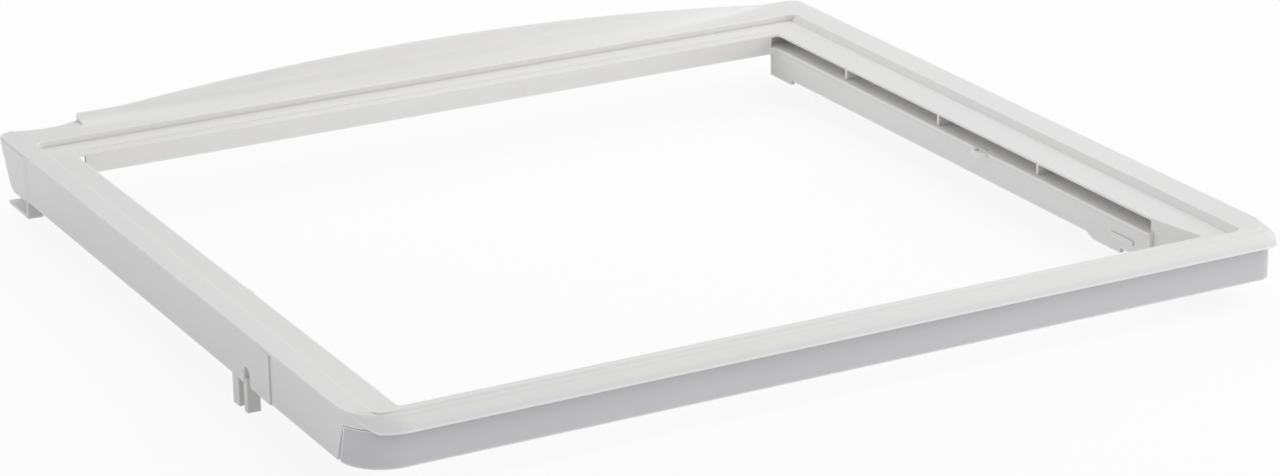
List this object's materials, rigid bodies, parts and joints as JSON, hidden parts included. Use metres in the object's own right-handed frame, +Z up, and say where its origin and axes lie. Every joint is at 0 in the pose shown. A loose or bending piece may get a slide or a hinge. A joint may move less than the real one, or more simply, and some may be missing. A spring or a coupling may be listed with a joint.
{
  "type": "fridge deli drawer cover",
  "caption": "Rectangular stepped frame for a glass pane, with rolled front edge, wrap-round front trim strip, arched rear lip, ribbed inner rails and hooks below its side walls.",
  "frame": {"origin": "middle of the part in plan, on the plane of the lowest hook feet", "axes": "+X to the right as seen from the front, +Y from the front nose to the arched rear lip, +Z up"},
  "size_m": [0.42, 0.3982, 0.0457],
  "materials": {
    "frame_plastic": "smooth semi-gloss white moulding",
    "trim_plastic": "smooth semi-gloss white moulding"
  },
  "bodies": {
    "root": {"frame": "frame_plastic", "front_trim": "trim_plastic"}
  },
  "joints": []
}
